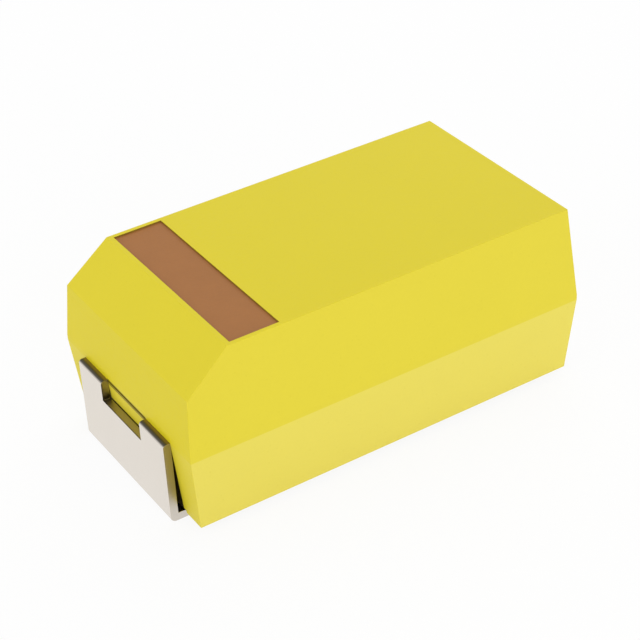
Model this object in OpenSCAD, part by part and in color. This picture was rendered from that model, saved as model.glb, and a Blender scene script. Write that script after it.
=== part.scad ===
// Moulded tantalum chip capacitor with two folded terminals.
// Millimetres. The origin is on the board, below the middle of the case.
// +X runs along the case from the anode end to the cathode end, +Z points up from the board.

/* [Case] */
// Length of the case at its parting plane
case_length = 5.8; // [5:0.1:7.4]
// Width of the case at its parting plane
case_width = 3.2; // [2.8:0.1:4.4]
// Height of the case from the parting plane to its top
upper_height = 1.35; // [1.15:0.05:1.8]
// Height of the upright band above the parting plane
land_height = 0.07; // [0.02:0.01:0.2]
// Lean of the moulded walls away from upright, in degrees
draft_angle = 5; // [2:0.5:8]
// Gap between the case and the board
standoff = 0.1; // [0.04:0.01:0.16]

/* [Polarity bevel] */
// Run of the bevel, from the end of the case at its parting plane to the top edge
bevel_run = 0.67; // [0.4:0.01:1]
// Drop of the bevel below the top of the case
bevel_drop = 0.51; // [0.3:0.01:0.9]

/* [Polarity stripe] */
// Width of the stripe along the case
stripe_width = 0.68; // [0.3:0.02:1.2]
// Distance from the bevel to the stripe
stripe_setback = 0.07; // [0.02:0.01:0.3]
// Distance from the long edges of the top to the ends of the stripe
stripe_margin = 0.06; // [0.02:0.01:0.4]
// Depth of the stripe's face below the top of the case
stripe_recess = 0.025; // [0.01:0.005:0.05]
// Thickness of the ink that makes the stripe
stripe_thickness = 0.02; // [0.01:0.005:0.05]

/* [Terminals] */
// Thickness of the metal strip
strip_thickness = 0.11; // [0.08:0.01:0.16]
// Width of each terminal
terminal_width = 2.2; // [1.6:0.1:2.7]
// Height of the top of each terminal above the board, which is also the parting plane
terminal_height = 1.19; // [1:0.01:1.5]
// Distance from the end of the case to the outer face of its terminal
terminal_proud = 0.1; // [0.05:0.01:0.14]
// Length of each foot along the board
foot_length = 1.3; // [0.8:0.05:1.7]
// Radius on the outside of each bend
bend_radius = 0.08; // [0.03:0.01:0.11]
// Clearance between the top of a foot and the pocket above it
foot_clearance = 0.02; // [0.01:0.01:0.05]
// Clearance at each side of a foot in its pocket
pocket_clearance = 0.05; // [0.02:0.01:0.1]
// Length of full-width strip inside the case, past the slot
shoulder_length = 0.15; // [0.1:0.05:0.3]

/* [Terminal notch] */
// Width of the slot punched across the upper bend
notch_width = 1; // [0.5:0.05:1.4]
// Depth of the slot below the top of the terminal
notch_depth = 0.29; // [0.15:0.01:0.5]
// Length of the slot inside the case, where the moulding fills it
notch_reach = 0.25; // [0.1:0.05:0.35]
// Height of the fine groove in the case behind the slot
groove_height = 0.03; // [0.01:0.01:0.06]
// Depth of the fine groove in the case behind the slot
groove_depth = 0.05; // [0.02:0.01:0.08]

/* [Anode] */
// Length of the narrow tab that carries the wire
tab_length = 0.8; // [0.5:0.05:1.1]
// Wall of the case beside the coated pellet, at the parting plane
side_wall = 0.5; // [0.35:0.05:0.7]
// Height of the tantalum pellet
pellet_height = 1.3; // [1:0.05:1.5]
// Chamfer along the pellet's long edges
pellet_chamfer = 0.08; // [0.02:0.01:0.2]
// Diameter of the riser wire
wire_diameter = 0.3; // [0.2:0.02:0.4]
// Depth to which the weld sinks the wire into the tab
weld_sink = 0.03; // [0.01:0.01:0.06]
// Length of wire on the tab
weld_length = 0.4; // [0.25:0.05:0.5]
// Tantalum left between the wire's buried end and the pellet's cathode end
wire_cover = 1.1; // [0.5:0.1:1.5]
// Width of the tab under the wire
tab_width = 1; // [0.6:0.05:1.5]
// Distance from the tab to the washer
tab_gap = 0.12; // [0.05:0.01:0.2]
// Diameter of the washer
washer_diameter = 0.8; // [0.6:0.05:1]
// Thickness of the washer
washer_thickness = 0.14; // [0.1:0.01:0.2]

/* [Coats] */
// Thickness of the manganese dioxide
manganese_thickness = 0.03; // [0.02:0.005:0.05]
// Thickness of the carbon
carbon_thickness = 0.02; // [0.01:0.005:0.04]
// Thickness of the silver paint
silver_thickness = 0.04; // [0.02:0.005:0.06]
// Distance from the pellet's anode end to the edge of the carbon
carbon_margin = 0.15; // [0.05:0.01:0.3]
// Distance from the edge of the carbon to the edge of the silver paint
silver_margin = 0.1; // [0.05:0.01:0.3]

/* [Cathode] */
// Length of the narrow strip inside the cathode end, before it turns down
shelf_length = 0.15; // [0.05:0.05:0.4]
// Width of the cradle under the pellet
cradle_width = 1.7; // [1:0.05:2]
// Length of the cradle under the pellet
cradle_length = 2.2; // [1:0.1:2.6]
// Thickness of the conductive adhesive
adhesive_thickness = 0.04; // [0.02:0.01:0.08]

/* [Hidden] */
$fn = 48;
// How far a cutter runs past the solid that it cuts
past = 1;

parting_z = terminal_height;
top_z = parting_z + upper_height;
end_x = case_length / 2;
terminal_x = end_x + terminal_proud;
upper_lean = (upper_height - land_height) * tan(draft_angle);
lower_lean = (parting_z - standoff) * tan(draft_angle);
bevel_z = top_z - bevel_drop;
bevel_lean = (upper_height - land_height - bevel_drop) * tan(draft_angle);

stripe_x = bevel_run - end_x + stripe_setback;
stripe_length = case_width - 2 * (upper_lean + stripe_margin);

// The wire's axis, which is also the middle height of the pellet
wire_z = parting_z + wire_diameter / 2 - weld_sink;
carbon_depth = manganese_thickness + carbon_thickness;
silver_depth = carbon_depth + silver_thickness;
tab_end = notch_reach + shoulder_length + tab_length - end_x;
wire_start = tab_end - weld_length;
pellet_start = tab_end + tab_gap + washer_thickness;
leg_x = end_x - notch_reach - shoulder_length - shelf_length - strip_thickness;
pellet_end = leg_x - adhesive_thickness - silver_depth;
wire_end = pellet_end - wire_cover;
pellet_width = case_width - 2 * (side_wall + silver_depth);
coated_z = wire_z - pellet_height / 2 - silver_depth;
cradle_top = coated_z - adhesive_thickness;
cradle_z = cradle_top - strip_thickness;

// A cuboid from one corner to the other
module block(low, high) {
    translate(low) cube(high - low);
}

// A flat shape drawn in X and Z, given its width across the case
module across(width) {
    translate([0, width / 2, 0]) rotate([90, 0, 0]) linear_extrude(width) children();
}

// A flat shape drawn in Z and Y, run along the case
module along(from, to) {
    translate([from, 0, 0]) rotate([0, -90, 180]) linear_extrude(to - from) children();
}

// A cylinder along X
module rod(diameter, from, to) {
    translate([from, 0, wire_z]) rotate([0, 90, 0]) cylinder(d = diameter, h = to - from);
}

// What rounds a square corner at the origin whose solid lies towards +X and +Y
module corner_round(radius) {
    difference() {
        translate([-past, -past]) square(past + radius);
        translate([radius, radius]) circle(radius);
    }
}

// Side view of the case: drafted halves, the upright band and the polarity bevel
module case_side() {
    polygon([
        [lower_lean - end_x, standoff], [end_x - lower_lean, standoff],
        [end_x, parting_z], [end_x, parting_z + land_height],
        [end_x - upper_lean, top_z], [bevel_run - end_x, top_z],
        [bevel_lean - end_x, bevel_z], [-end_x, parting_z + land_height], [-end_x, parting_z]
    ]);
}

// End view of the case, drawn in Z and Y
module case_end() {
    half = case_width / 2;
    polygon([
        [standoff, lower_lean - half], [parting_z, -half], [parting_z + land_height, -half],
        [top_z, upper_lean - half], [top_z, half - upper_lean],
        [parting_z + land_height, half], [parting_z, half], [standoff, half - lower_lean]
    ]);
}

module case_outside() {
    intersection() {
        across(case_width + past) case_side();
        along(-end_x - past, end_x + past) case_end();
    }
}

// Recess in the top for the stripe
module stripe_pocket() {
    depth = stripe_recess + stripe_thickness;
    block([stripe_x, -stripe_length / 2, top_z - depth],
          [stripe_x + stripe_width, stripe_length / 2, top_z + past]);
}

// Shallow pocket under one end of the case, over the foot
module foot_pocket() {
    half = terminal_width / 2 + pocket_clearance;
    block([-end_x - past, -half, -past],
          [foot_length - terminal_x + pocket_clearance, half, strip_thickness + foot_clearance]);
}

// Fine groove in one end of the case, at the parting plane behind the terminal's slot
module notch_groove() {
    block([-end_x - past, -notch_width / 2, parting_z - groove_height],
          [groove_depth - end_x, notch_width / 2, parting_z]);
}

// Side view of the folded strip at the anode end, from its foot to the shoulder inside the case
module terminal_side() {
    difference() {
        union() {
            translate([-terminal_x, 0]) square([foot_length, strip_thickness]);
            translate([-terminal_x, 0]) square([strip_thickness, parting_z]);
            translate([-terminal_x, parting_z - strip_thickness])
                square([terminal_proud + notch_reach + shoulder_length, strip_thickness]);
        }
        translate([-terminal_x, 0]) corner_round(bend_radius);
        translate([-terminal_x, parting_z]) mirror([0, 1]) corner_round(bend_radius);
    }
}

// The slot across the upper bend
module notch() {
    block([-terminal_x - past, -notch_width / 2, parting_z - notch_depth],
          [notch_reach - end_x, notch_width / 2, parting_z + past]);
}

module terminal() {
    difference() {
        across(terminal_width) terminal_side();
        notch();
    }
}

// The cathode strip inside the case: shelf, leg behind the pellet, cradle below it
module cradle_side() {
    difference() {
        union() {
            translate([leg_x, parting_z - strip_thickness])
                square([end_x - notch_reach - leg_x, strip_thickness]);
            translate([leg_x, cradle_z]) square([strip_thickness, parting_z - cradle_z]);
            translate([leg_x - cradle_length, cradle_z])
                square([cradle_length + strip_thickness, strip_thickness]);
        }
        translate([leg_x, parting_z]) mirror([0, 1]) corner_round(bend_radius);
        translate([leg_x + strip_thickness, cradle_z]) mirror([1, 0]) corner_round(bend_radius);
    }
}

// A bar with the pellet's outline grown by depth, chamfered along its long edges
module pellet_bar(depth, from, to) {
    y = pellet_width / 2 + depth;
    z = pellet_height / 2 + depth;
    c = pellet_chamfer + (2 - sqrt(2)) * depth;
    translate([0, 0, wire_z]) along(from, to)
        polygon([
            [c - z, -y], [z - c, -y], [z, c - y], [z, y - c], [z - c, y], [c - z, y], [-z, y - c], [-z, c - y]
        ]);
}

// Everything inside the silver paint, and the paint itself
module coated_pellet() {
    pellet_bar(manganese_thickness, pellet_start - manganese_thickness, pellet_end + manganese_thickness);
    pellet_bar(carbon_depth, pellet_start + carbon_margin, pellet_end + carbon_depth);
    pellet_bar(silver_depth, pellet_start + carbon_margin + silver_margin, pellet_end + silver_depth);
}

module washer_outside() {
    rod(washer_diameter, pellet_start - washer_thickness, pellet_start);
}

module wire_outside() {
    rod(wire_diameter, wire_start, wire_end);
}

// Moulded epoxy body, which fills all the room round the pieces inside it
module case() {
    color("#dccc41")
    difference() {
        case_outside();
        stripe_pocket();
        foot_pocket();
        mirror([1, 0, 0]) foot_pocket();
        notch_groove();
        mirror([1, 0, 0]) notch_groove();
        anode_leadframe();
        cathode_leadframe();
        wire_outside();
        washer_outside();
        coated_pellet();
        silver_adhesive();
    }
}

// Ink band that marks the anode end
module polarity_stripe() {
    color("#a57349")
    block([stripe_x, -stripe_length / 2, top_z - stripe_recess - stripe_thickness],
          [stripe_x + stripe_width, stripe_length / 2, top_z - stripe_recess]);
}

// Folded strip at the anode end, with the tab that carries the wire
module anode_leadframe() {
    color("#e0d9cf")
    difference() {
        union() {
            terminal();
            block([notch_reach - end_x, -tab_width / 2, parting_z - strip_thickness],
                  [tab_end, tab_width / 2, parting_z]);
        }
        wire_outside();
    }
}

// Folded strip at the cathode end, with the cradle that carries the pellet
module cathode_leadframe() {
    color("#e0d9cf")
    union() {
        mirror([1, 0, 0]) terminal();
        across(cradle_width) cradle_side();
    }
}

// Sintered tantalum block
module tantalum_pellet() {
    color("#5a5d62")
    difference() {
        pellet_bar(0, pellet_start, pellet_end);
        wire_outside();
    }
}

// Tantalum wire, sintered into the pellet and welded to the anode tab
module riser_wire() {
    color("#8e9095") wire_outside();
}

// Washer that keeps the coats off the wire
module washer() {
    color("#f4f4f0")
    difference() {
        washer_outside();
        wire_outside();
    }
}

// Manganese dioxide all round the pellet, up to the washer
module manganese_dioxide_coat() {
    color("#2b2622")
    difference() {
        pellet_bar(manganese_thickness, pellet_start - manganese_thickness, pellet_end + manganese_thickness);
        pellet_bar(0, pellet_start, pellet_end);
        washer_outside();
    }
}

// Carbon, open at the anode end
module carbon_coat() {
    color("#1a1a1c")
    difference() {
        pellet_bar(carbon_depth, pellet_start + carbon_margin, pellet_end + carbon_depth);
        pellet_bar(manganese_thickness, pellet_start - past, pellet_end + manganese_thickness);
    }
}

// Silver paint, open at the anode end
module silver_coat() {
    color("#c9cbcc")
    difference() {
        pellet_bar(silver_depth, pellet_start + carbon_margin + silver_margin, pellet_end + silver_depth);
        pellet_bar(carbon_depth, pellet_start - past, pellet_end + carbon_depth);
    }
}

// Conductive adhesive between the silver paint and the cathode strip
module silver_adhesive() {
    color("#aeb0b2")
    across(cradle_width) {
        translate([leg_x - cradle_length, cradle_top]) square([cradle_length, adhesive_thickness]);
        translate([leg_x - adhesive_thickness, cradle_top])
            square([adhesive_thickness, parting_z - strip_thickness - cradle_top]);
    }
}

case();
polarity_stripe();
anode_leadframe();
cathode_leadframe();
tantalum_pellet();
riser_wire();
washer();
manganese_dioxide_coat();
carbon_coat();
silver_coat();
silver_adhesive();
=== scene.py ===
"""Tantalum chip capacitor: finishes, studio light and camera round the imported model.

Every length is in metres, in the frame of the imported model: the board is at z = 0, +X runs
towards the cathode end and the bevelled anode end is at -X.
"""

import math

import bmesh
import bpy
from mathutils import Matrix, Vector


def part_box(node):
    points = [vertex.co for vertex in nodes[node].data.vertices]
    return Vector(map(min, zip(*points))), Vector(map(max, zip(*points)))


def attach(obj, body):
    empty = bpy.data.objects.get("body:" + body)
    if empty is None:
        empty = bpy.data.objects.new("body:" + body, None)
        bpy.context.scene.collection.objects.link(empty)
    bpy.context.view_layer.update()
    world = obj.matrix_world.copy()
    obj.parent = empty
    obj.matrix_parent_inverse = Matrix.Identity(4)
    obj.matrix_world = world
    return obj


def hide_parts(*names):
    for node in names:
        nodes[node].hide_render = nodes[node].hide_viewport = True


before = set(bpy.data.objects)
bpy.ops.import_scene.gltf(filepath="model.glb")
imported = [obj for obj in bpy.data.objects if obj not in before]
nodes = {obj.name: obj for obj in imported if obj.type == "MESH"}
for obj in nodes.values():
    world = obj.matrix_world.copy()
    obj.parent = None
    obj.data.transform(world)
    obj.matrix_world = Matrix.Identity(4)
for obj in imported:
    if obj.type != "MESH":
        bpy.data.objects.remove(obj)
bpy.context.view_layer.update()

MM = 0.001
case_low, case_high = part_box("case")
strip_low, strip_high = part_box("anode_leadframe")
stripe_low, stripe_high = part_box("polarity_stripe")

PARTING_Z = strip_high.z               # the top of the terminals, where the two mould halves meet
CASE_END = case_high.x                 # the end of the case at its parting plane
TERMINAL_X = -strip_low.x              # the outer face of a terminal
STRIP_HALF = strip_high.y              # half the width of a terminal
FOOT_TIP = -strip_high.x               # how near to the middle a strip's foot and tab come
MODEL_FOLD = 0.08 * MM                 # outer radius of a terminal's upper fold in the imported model
FOLD = 0.045 * MM                      # the tighter radius that the fold is given here
NOTCH_HALF = 0.5 * MM                  # half the width of the notch in a terminal
NOTCH_FLOOR = PARTING_Z - 0.29 * MM
FOOT_ROOM = 0.05 * MM                  # beside a foot in its pocket, and above the pocket's edge
HAIR = 0.0005 * MM                     # how near to a face still counts as on it
MERGE = 0.0001 * MM                    # corners nearer than this are one corner


# ---------------------------------------------------------------- shader expressions


class Wire:
    """A socket in a material that can be used in Python expressions, which add Math nodes."""

    def __init__(self, socket):
        self.socket = socket

    def add(self, kind, settings=None, inputs=None, output=0):
        """Adds a node of any kind: its settings first, then the values or links of its sockets."""
        tree = self.socket.id_data
        node = tree.nodes.new(kind)
        for name, value in (settings or {}).items():
            setattr(node, name, value)
        for name, value in (inputs or {}).items():
            if isinstance(value, Wire):
                tree.links.new(value.socket, node.inputs[name])
            else:
                node.inputs[name].default_value = value
        return Wire(node.outputs[output])

    def math(self, operation, *values):
        return self.add("ShaderNodeMath", {"operation": operation}, dict(enumerate(values)))

    def __add__(self, other):
        return self.math("ADD", self, other)

    __radd__ = __add__

    def __mul__(self, other):
        return self.math("MULTIPLY", self, other)

    __rmul__ = __mul__

    def __sub__(self, other):
        return self.math("SUBTRACT", self, other)

    def __rsub__(self, other):
        return self.math("SUBTRACT", other, self)

    def __neg__(self):
        return 0 - self

    def __gt__(self, other):
        return self.math("GREATER_THAN", self, other)

    def __lt__(self, other):
        return self.math("LESS_THAN", self, other)

    def __abs__(self):
        return self.math("ABSOLUTE", self)

    def most(self, other):
        return self.math("MAXIMUM", self, other)

    def within(self, low, high):
        """1 between low and high, and 0 elsewhere."""
        return (self > low - HAIR) * (self < high + HAIR)

    def rise(self, start, end):
        """0 below start, 1 above end, and a smooth turn between them."""
        values = {"Value": self, "From Min": start, "From Max": end}
        return self.add("ShaderNodeMapRange", {"interpolation_type": "SMOOTHSTEP"}, values)

    def spread(self, amount):
        """Noise about 0.5, drawn apart or together round 0.5."""
        return (self - 0.5) * amount

    def axes(self):
        """The x, y and z of a position."""
        split = self.add("ShaderNodeSeparateXYZ", inputs={"Vector": self}).socket.node
        return [Wire(output) for output in split.outputs]

    def noise(self, size, stretch=(1, 1, 1), detail=2, rough=0.5):
        """Noise about 0.5 whose features are about size metres across."""
        scale = Vector(stretch) / size
        place = self.add("ShaderNodeMapping", inputs={"Vector": self, "Scale": scale})
        values = {"Vector": place, "Scale": 1, "Detail": detail, "Roughness": rough}
        return self.add("ShaderNodeTexNoise", inputs=values)

    def specks(self, size, share):
        """Small round specks in cells about size metres across; share is how far a speck reaches."""
        scale = Vector((1, 1, 1)) / size
        place = self.add("ShaderNodeMapping", inputs={"Vector": self, "Scale": scale})
        far = self.add("ShaderNodeTexVoronoi", inputs={"Vector": place, "Scale": 1})
        return 1 - far.rise(share * 0.6, share)

    def blend(self, first, second):
        """From the colour first, where this is 0, to the colour second, where it is 1."""
        settings = {"data_type": "RGBA"}
        return self.add("ShaderNodeMix", settings, {0: self, 6: paint(first), 7: paint(second)}, 2)

    def tint(self, colour, less, more):
        """From the colour at the level less, where this is 0, to the level more, where it is 1."""
        return self.blend(shade(colour, less), shade(colour, more))

    def bump(self, depth):
        """A normal from this height, which is depth metres at 1."""
        return self.add("ShaderNodeBump", inputs={"Height": self, "Distance": depth, "Strength": 1})


def paint(colour):
    """A colour as a socket takes it, or the wire that carries one."""
    return colour if isinstance(colour, Wire) else (*colour, 1)


def shade(colour, level):
    """The colour times a level, which may be above 1."""
    return tuple(min(1, channel * level) for channel in colour)


def finish(name, surface, **constants):
    """A material whose shader has these constants, and whose varying inputs surface(place) gives."""
    made = bpy.data.materials.new(name)
    made.use_nodes = True
    tree = made.node_tree
    shader = tree.nodes["Principled BSDF"]
    for socket, value in constants.items():
        shader.inputs[socket.replace("_", " ")].default_value = value
    place = Wire(tree.nodes.new("ShaderNodeTexCoord").outputs["Object"])
    for socket, value in surface(place).items():
        tree.links.new(value.socket, shader.inputs[socket])
    return made


# ---------------------------------------------------------------- finishes

YELLOW = (0.684, 0.572, 0.008)
PALE_PAINTED_LIGHT = (0.770, 0.670, 0.140)
IN_SHADE = (0.030, 0.020, 0.006)
RECESS_BROWN = (0.260, 0.150, 0.020)
GROOVE_PAINTED_SHADE = (0.250, 0.190, 0.002)
BROWN = (0.340, 0.136, 0.035)
TIN = (0.755, 0.698, 0.625)
BARE_AND_PAINTED_REFLECTION = (0.385, 0.335, 0.245)
NOTCH_PAINTED_SHADE = (0.050, 0.042, 0.034)
FOLD_PAINTED_REFLECTION = (0.074, 0.066, 0.052)
CROWN_PAINTED_SHADE = (0.250, 0.185, 0.045)


def painted_light_share(z, facing):
    """How much painted light shows, as a paler yellow: some on the flanks, the bevel and the lower half,
    where the light falls brighter.
    """
    on_flank, on_lower_flank, on_bevel, on_lower = 0.22, 0.30, 0.12, 0.15
    flank = abs(facing[1]).rise(0.6, 0.9)
    bevelled = (-facing[0] * facing[2]).rise(0.30, 0.45)
    under = 1 - z.rise(PARTING_Z - 0.01 * MM, PARTING_Z)
    return bevelled * on_bevel + flank * on_flank + flank * under * on_lower_flank + under * on_lower


def shaded_case(x, z, wide):
    """Where the case lies in shade: behind a terminal's leg, and in the pocket over its foot."""
    leg_gap = 0.09 * MM
    case_depth = 0.2 * MM
    end = abs(x)
    hidden = (z < NOTCH_FLOOR).most((z < PARTING_Z - leg_gap) * (wide > NOTCH_HALF))
    behind = wide.within(0, STRIP_HALF) * hidden * (end > CASE_END - case_depth)
    pocket = wide.within(0, STRIP_HALF + FOOT_ROOM) * (z < case_low.z + FOOT_ROOM)
    pocket = pocket * (z > case_low.z + HAIR) * (end > FOOT_TIP)
    return behind.most(pocket)


def epoxy(place):
    """Moulded epoxy: faint mottling, fine grain and a few filler specks, with painted light on the flanks,
    bevel and lower half, and painted shade along the groove, behind the terminals and in the foot pockets.
    """
    groove_below, groove_above = 0.068 * MM, 0.018 * MM
    speck_depth = 0.10
    x, y, z = place.axes()
    wide = abs(y)
    cloud = place.noise(1.1 * MM, detail=3)
    grain = place.noise(0.045 * MM, detail=3, rough=0.6)
    filler = place.specks(0.11 * MM, 0.14)
    facing = place.add("ShaderNodeNewGeometry", output="Normal").axes()
    # painted light: the flanks, the bevel and the lower half are given a paler yellow
    share = painted_light_share(z, facing)
    tone = cloud.spread(0.30) + grain.spread(0.34) + 0.5
    low = share.blend(shade(YELLOW, 0.955), shade(PALE_PAINTED_LIGHT, 0.955))
    high = share.blend(shade(YELLOW, 1.045), shade(PALE_PAINTED_LIGHT, 1.045))
    colour = (filler * speck_depth).blend(tone.blend(low, high), shade(YELLOW, 0.75))
    # the epoxy inside the stripe's recess, seen at its walls, is coloured a darker brown
    recess = x.within(stripe_low.x, stripe_high.x) * wide.within(0, stripe_high.y)
    recess = recess * (z > stripe_low.z - HAIR) * (z < case_high.z - HAIR)
    # painted shade: a dark band along the groove at the parting line, across the notch
    groove = z.within(PARTING_Z - groove_below, PARTING_Z + groove_above) * (wide < NOTCH_HALF)
    colour = groove.blend(recess.blend(colour, RECESS_BROWN), GROOVE_PAINTED_SHADE)
    height = grain + place.noise(0.16 * MM, detail=2) * 0.8
    return {
        "Base Color": shaded_case(x, z, wide).blend(colour, IN_SHADE),
        "Roughness": 0.40 + grain * 0.14,
        "Normal": height.bump(0.0016 * MM),
    }


def ink(place):
    """Printed ink: a little uneven in thickness."""
    grain = place.noise(0.035 * MM, detail=3, rough=0.6)
    patch = place.noise(0.30 * MM, detail=2)
    tone = grain.spread(0.8) + patch.spread(0.6) + 0.5
    height = grain + patch * 0.5
    return {
        "Base Color": tone.tint(BROWN, 0.90, 1.10),
        "Roughness": 0.46 + grain * 0.12,
        "Normal": height.bump(0.0014 * MM),
    }


def folded(plate, end, z):
    """The plate's colour with a painted dark reflection along its upper fold and painted brown shade at the
    crown, and the fold's mask.
    """
    # painted reflection and shade: dark along the upper fold, brown at its crown next to the case
    fold = z.rise(PARTING_Z - 0.75 * FOLD, PARTING_Z - 0.10 * FOLD) * (end > CASE_END)
    crown = 1 - end.rise(CASE_END + 0.02 * MM, CASE_END + 0.06 * MM)
    return fold.blend(plate, crown.blend(FOLD_PAINTED_REFLECTION, CROWN_PAINTED_SHADE)), fold


def tinned(place):
    """Tinned strip: rolling lines along it, uncoated metal where it was cut with a painted darker olive
    reflection up the cut faces, painted shade on the notch's walls, a painted dark reflection along the
    upper fold, and dull where it was folded.
    """
    x, y, z = place.axes()
    end, wide = abs(x), abs(y)
    lines = place.noise(0.030 * MM, stretch=(0.04, 1, 0.04), detail=2)
    patch = place.noise(0.35 * MM, detail=2)
    tone = lines.spread(0.5) + patch.spread(0.5) + 0.5
    plate, fold = folded(tone.tint(TIN, 0.96, 1.04), end, z)
    side = wide > STRIP_HALF - HAIR
    slot = (wide < NOTCH_HALF + HAIR) * (z > NOTCH_FLOOR - HAIR)
    # the cut faces are uncoated metal, painted darker olive upward as a painted reflection of the yellow
    # case
    bare_with_painted_light = z.rise(0.10 * MM, 0.55 * MM).blend(shade(TIN, 0.85), BARE_AND_PAINTED_REFLECTION)
    # painted shade: near-black on the notch's cut walls, at its outer edge and low down
    front = end.rise(TERMINAL_X - 0.018 * MM, TERMINAL_X - 0.008 * MM)
    low_wall = 1 - z.rise(NOTCH_FLOOR + 0.02 * MM, NOTCH_FLOOR + 0.14 * MM)
    wall = (wide > NOTCH_HALF - HAIR) * low_wall
    bare_with_painted_light = (slot * front.most(wall)).blend(bare_with_painted_light, NOTCH_PAINTED_SHADE)
    cut = side.most(slot)
    return {
        "Base Color": cut.blend(plate, bare_with_painted_light),
        "Roughness": 0.20 + lines * 0.08 + cut * 0.06 + fold * 0.10,
        "Normal": lines.bump(0.0004 * MM),
    }


def grainy(dark, light, size, depth, rough):
    """A surface of packed grains between two colours."""

    def surface(place):
        grain = place.noise(size, detail=4, rough=0.65)
        cells = place.specks(size * 1.8, 0.5)
        height = grain + cells * 0.5
        return {
            "Base Color": (grain.spread(1.6) + 0.5).blend(dark, light),
            "Roughness": rough + grain.spread(0.3),
            "Normal": height.bump(depth),
        }

    return surface


def drawn(place):
    """Drawn wire, with fine lines along it."""
    lines = place.noise(0.015 * MM, stretch=(0.03, 1, 1), detail=2)
    return {
        "Base Color": lines.blend((0.33, 0.33, 0.35), (0.52, 0.52, 0.54)),
        "Roughness": 0.28 + lines * 0.15,
        "Normal": lines.bump(0.0005 * MM),
    }


sintered = grainy((0.05, 0.055, 0.065), (0.19, 0.20, 0.22), size=0.03 * MM, depth=0.004 * MM, rough=0.6)
waxy = grainy((0.78, 0.78, 0.75), (0.88, 0.88, 0.86), size=0.05 * MM, depth=0.001 * MM, rough=0.38)
sooty = grainy((0.008, 0.007, 0.006), (0.045, 0.036, 0.030), size=0.03 * MM, depth=0.003 * MM, rough=0.7)
carbon = grainy((0.006, 0.006, 0.007), (0.026, 0.026, 0.028), size=0.02 * MM, depth=0.0015 * MM, rough=0.55)
flakes = grainy((0.46, 0.46, 0.46), (0.66, 0.66, 0.65), size=0.03 * MM, depth=0.002 * MM, rough=0.42)
filled = grainy((0.34, 0.34, 0.33), (0.50, 0.50, 0.49), size=0.04 * MM, depth=0.003 * MM, rough=0.5)

tin = finish("tinned_strip_satin", tinned, Metallic=1.0)
finishes = {
    "case": finish("epoxy_yellow", epoxy, Specular_IOR_Level=0.22),
    "polarity_stripe": finish("ink_brown", ink, Specular_IOR_Level=0.20),
    "tantalum_pellet": finish("sintered_tantalum", sintered, Metallic=0.6),
    "riser_wire": finish("drawn_tantalum", drawn, Metallic=1.0),
    "washer": finish("fluoropolymer_white", waxy),
    "manganese_dioxide_coat": finish("manganese_dioxide_dark", sooty),
    "carbon_coat": finish("graphite_black", carbon),
    "silver_coat": finish("silver_paint", flakes, Metallic=0.85),
    "silver_adhesive": finish("silver_filled_adhesive", filled, Metallic=0.7),
    "anode_leadframe": tin,
    "cathode_leadframe": tin,
}
for name, material in finishes.items():
    nodes[name].data.materials.clear()
    nodes[name].data.materials.append(material)


# ---------------------------------------------------------------- shapes


def soften(piece, width, above):
    """Rounds a piece's sharp edges, those that turn by more than above degrees."""
    weld = piece.modifiers.new("Weld", "WELD")
    weld.merge_threshold = MERGE
    flat = piece.modifiers.new("Flat faces", "DECIMATE")
    flat.decimate_type = "DISSOLVE"
    flat.angle_limit = math.radians(0.5)
    edge = piece.modifiers.new("Edges", "BEVEL")
    edge.width = width
    edge.segments = 2
    edge.limit_method = "ANGLE"
    edge.angle_limit = math.radians(above)
    edge.profile = 0.5
    edge.harden_normals = True


def folded_terminal(name, node, end):
    """A leadframe whose upper fold, at the case's end towards end (1 or -1), has the tighter radius."""
    shape = bmesh.new()
    shape.from_mesh(nodes[node].data)
    bmesh.ops.remove_doubles(shape, verts=shape.verts, dist=MERGE)
    old_centre = Vector((end * (TERMINAL_X - MODEL_FOLD), PARTING_Z - MODEL_FOLD))
    new_centre = Vector((end * (TERMINAL_X - FOLD), PARTING_Z - FOLD))
    for corner in shape.verts:
        arm = Vector((corner.co.x, corner.co.z)) - old_centre
        outward = arm.x * end > -HAIR and arm.y > -HAIR
        if outward and abs(arm.length - MODEL_FOLD) < 4 * HAIR:
            corner.co.x, corner.co.z = new_centre + arm * (FOLD / MODEL_FOLD)
    mesh = bpy.data.meshes.new(name)
    shape.to_mesh(mesh)
    shape.free()
    mesh.shade_smooth()
    mesh.set_sharp_from_angle(angle=math.radians(30))
    mesh.materials.append(tin)
    piece = bpy.data.objects.new(name, mesh)
    bpy.context.scene.collection.objects.link(piece)
    soften(piece, width=0.004 * MM, above=60)
    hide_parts(node)
    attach(piece, "root")


soften(nodes["case"], width=0.005 * MM, above=30)
folded_terminal("anode_terminal_strip", "anode_leadframe", -1)
folded_terminal("cathode_terminal_strip", "cathode_leadframe", 1)


# ---------------------------------------------------------------- studio

SKY = 0.72                             # the light of the surroundings on the object
FLOOR_GLOW = 0.90                      # the share of plain white in the floor where it is seen
FLOOR_SIZE = 400 * MM


def towards(azimuth, elevation):
    """The direction to a viewer or lamp, in radians. Azimuth 0 looks along +Y and 90 degrees along -X."""
    level = math.cos(elevation)
    return Vector((math.sin(azimuth) * level, -math.cos(azimuth) * level, math.sin(elevation)))


def seen_white(tree):
    """1 for a ray that should meet the white background, and 0 for light on the object."""
    rays = tree.nodes.new("ShaderNodeLightPath").outputs
    seen = Wire(rays["Is Camera Ray"]) + Wire(rays["Is Glossy Ray"]) + Wire(rays["Is Transmission Ray"])
    return seen.math("MINIMUM", seen, 1)


def make_world():
    """White where it is seen or mirrored, and at the level SKY where it lights the object."""
    world = bpy.data.worlds.new("studio")
    bpy.context.scene.world = world
    world.use_nodes = True
    tree = world.node_tree
    sky = tree.nodes["Background"]
    sky.inputs["Color"].default_value = (1, 1, 1, 1)
    strength = seen_white(tree) * (1 - SKY) + SKY
    tree.links.new(strength.socket, sky.inputs["Strength"])


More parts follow.
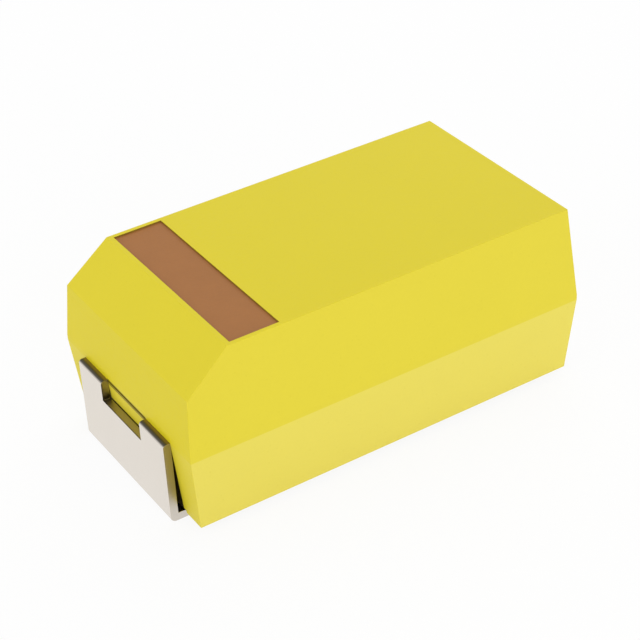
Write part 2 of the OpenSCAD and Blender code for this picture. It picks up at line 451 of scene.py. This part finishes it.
def lamp(name, azimuth, elevation, strength, spread):
    """A soft far lamp. The angles and its apparent width, spread, are in degrees."""
    light = bpy.data.lights.new(name, "SUN")
    light.energy = strength * math.pi
    light.angle = math.radians(spread)
    made = bpy.data.objects.new(name, light)
    bpy.context.scene.collection.objects.link(made)
    back = towards(math.radians(azimuth), math.radians(elevation))
    made.rotation_mode = "QUATERNION"
    made.rotation_quaternion = back.to_track_quat("Z", "Y")
    made.location = back * 100 * MM


def make_floor():
    """A wide pale floor that keeps a soft shadow and otherwise meets the white background."""
    shape = bmesh.new()
    bmesh.ops.create_grid(shape, x_segments=1, y_segments=1, size=FLOOR_SIZE)
    mesh = bpy.data.meshes.new("floor")
    shape.to_mesh(mesh)
    shape.free()
    floor = bpy.data.objects.new("floor", mesh)
    bpy.context.scene.collection.objects.link(floor)
    made = bpy.data.materials.new("floor_white")
    made.use_nodes = True
    tree = made.node_tree
    shader = tree.nodes["Principled BSDF"]
    shader.inputs["Base Color"].default_value = (0.90, 0.90, 0.90, 1)
    shader.inputs["Roughness"].default_value = 1
    shader.inputs["Specular IOR Level"].default_value = 0
    glow = tree.nodes.new("ShaderNodeEmission")
    keep = tree.nodes.new("ShaderNodeMixShader")
    tree.links.new((seen_white(tree) * FLOOR_GLOW).socket, keep.inputs[0])
    tree.links.new(shader.outputs[0], keep.inputs[1])
    tree.links.new(glow.outputs[0], keep.inputs[2])
    tree.links.new(keep.outputs[0], tree.nodes["Material Output"].inputs["Surface"])
    mesh.materials.append(made)


def place_camera():
    """The camera at the viewing angle, aimed at the middle of the case at its parting band."""
    aim = Vector((0, 0, 1.231)) * MM
    aside = Vector((0.0439, 0.0470)) * MM
    distance = 24.225 * MM
    azimuth, elevation, roll = (math.radians(angle) for angle in (-31.278, 34.261, -3.117))
    back = towards(azimuth, elevation)
    level = Vector((math.cos(azimuth), math.sin(azimuth), 0))
    upright = back.cross(level)
    right = math.cos(roll) * level + math.sin(roll) * upright
    up = math.cos(roll) * upright - math.sin(roll) * level
    data = bpy.data.cameras.new("camera")
    data.lens = 105.204
    data.sensor_width = 36
    data.clip_start = 1 * MM
    data.clip_end = 2000 * MM
    camera = bpy.data.objects.new("camera", data)
    bpy.context.scene.collection.objects.link(camera)
    turn = Matrix((right, up, back)).transposed().to_4x4()
    place = aim - right * aside.x - up * aside.y + back * distance
    camera.matrix_world = Matrix.Translation(place) @ turn
    bpy.context.scene.camera = camera


make_world()
lamp("front_lamp", azimuth=0, elevation=15, strength=0.36, spread=50)
lamp("end_lamp", azimuth=-90, elevation=8, strength=0.31, spread=50)
lamp("far_end_lamp", azimuth=90, elevation=5, strength=0.12, spread=50)
lamp("back_lamp", azimuth=135, elevation=50, strength=0.19, spread=60)
make_floor()
place_camera()
bpy.context.scene.view_settings.view_transform = "Standard"
